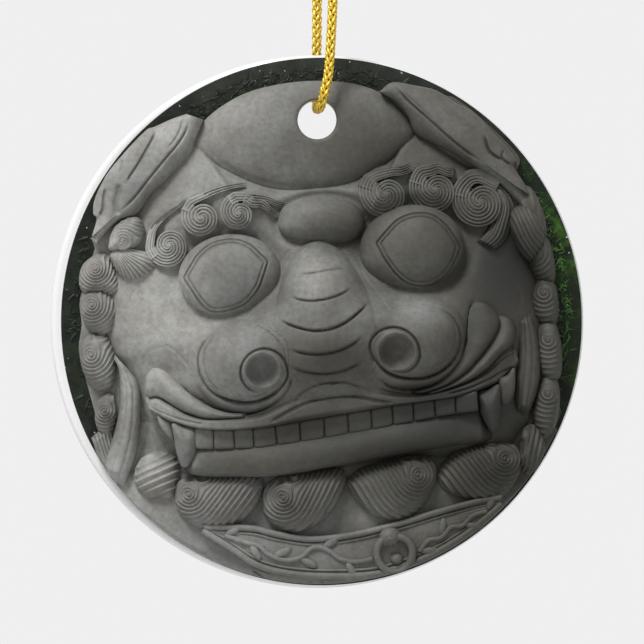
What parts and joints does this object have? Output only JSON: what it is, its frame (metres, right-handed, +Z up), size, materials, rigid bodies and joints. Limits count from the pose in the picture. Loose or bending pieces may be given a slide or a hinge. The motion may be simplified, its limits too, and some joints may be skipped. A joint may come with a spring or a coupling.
{
  "type": "guardian lion ornament",
  "caption": "Round ceramic hanging ornament with a guardian lion's head in half relief, curled mane, fangs and collar, rocking on a looped gold cord through its hole.",
  "frame": {"origin": "the point that the cord's loop hangs from, just under the knot and midway between its two strands", "axes": "+Z up along the hanging cord, the lion's face looks along -Y, +X to the viewer's right"},
  "size_m": [0.073, 0.0204, 0.1341],
  "materials": {
    "stone_glaze": "matte",
    "porcelain": "gloss",
    "gold_cord": "metallic braid"
  },
  "bodies": {
    "cord": {"hanging_cord": "gold_cord", "cord_knot": "gold_cord"},
    "ornament": {"beard_curl_1": "stone_glaze", "beard_curl_2": "stone_glaze", "beard_curl_3": "stone_glaze", "beard_curl_4": "stone_glaze", "beard_curl_5": "stone_glaze", "beard_curl_6": "stone_glaze", "brow_knob": "stone_glaze", "chest": "stone_glaze", "collar_band": "stone_glaze", "collar_bead": "stone_glaze", "collar_knob": "stone_glaze", "collar_lower_rim": "stone_glaze", "collar_ring": "stone_glaze", "collar_upper_rim": "stone_glaze", "face": "stone_glaze", "forehead_dome": "stone_glaze", "left_brow_curl_1": "stone_glaze", "left_brow_curl_2": "stone_glaze", "left_brow_curl_3": "stone_glaze", "left_brow_curl_4": "stone_glaze", "left_brow_curl_5": "stone_glaze", "left_ear": "stone_glaze", "left_eye": "stone_glaze", "left_fang": "stone_glaze", "left_lip_roll": "stone_glaze", "left_mane_curl_1": "stone_glaze", "left_mane_curl_2": "stone_glaze", "left_mane_curl_3": "stone_glaze", "left_mane_curl_4": "stone_glaze", "left_nostril": "stone_glaze", "left_side_lock": "stone_glaze", "lion_plate": "stone_glaze", "lower_lip": "stone_glaze", "nose_bridge": "stone_glaze", "porcelain_disc": "porcelain", "right_brow_curl_1": "stone_glaze", "right_brow_curl_2": "stone_glaze", "right_brow_curl_3": "stone_glaze", "right_brow_curl_4": "stone_glaze", "right_ear": "stone_glaze", "right_eye": "stone_glaze", "right_fang": "stone_glaze", "right_lip_roll_inner": "stone_glaze", "right_lip_roll_outer": "stone_glaze", "right_mane_curl_1": "stone_glaze", "right_mane_curl_2": "stone_glaze", "right_mane_curl_3": "stone_glaze", "right_mane_curl_4": "stone_glaze", "right_mane_curl_5": "stone_glaze", "right_nostril": "stone_glaze", "right_side_lock": "stone_glaze", "upper_lip": "stone_glaze", "upper_teeth": "stone_glaze"}
  },
  "joints": [
    {"name": "ornament_rock", "type": "hinge", "parent": "cord", "child": "ornament", "pos_m": [0.0001, 0, -0.05602], "axis": [0, 1, 0], "range_deg": [-45, 45]}
  ]
}
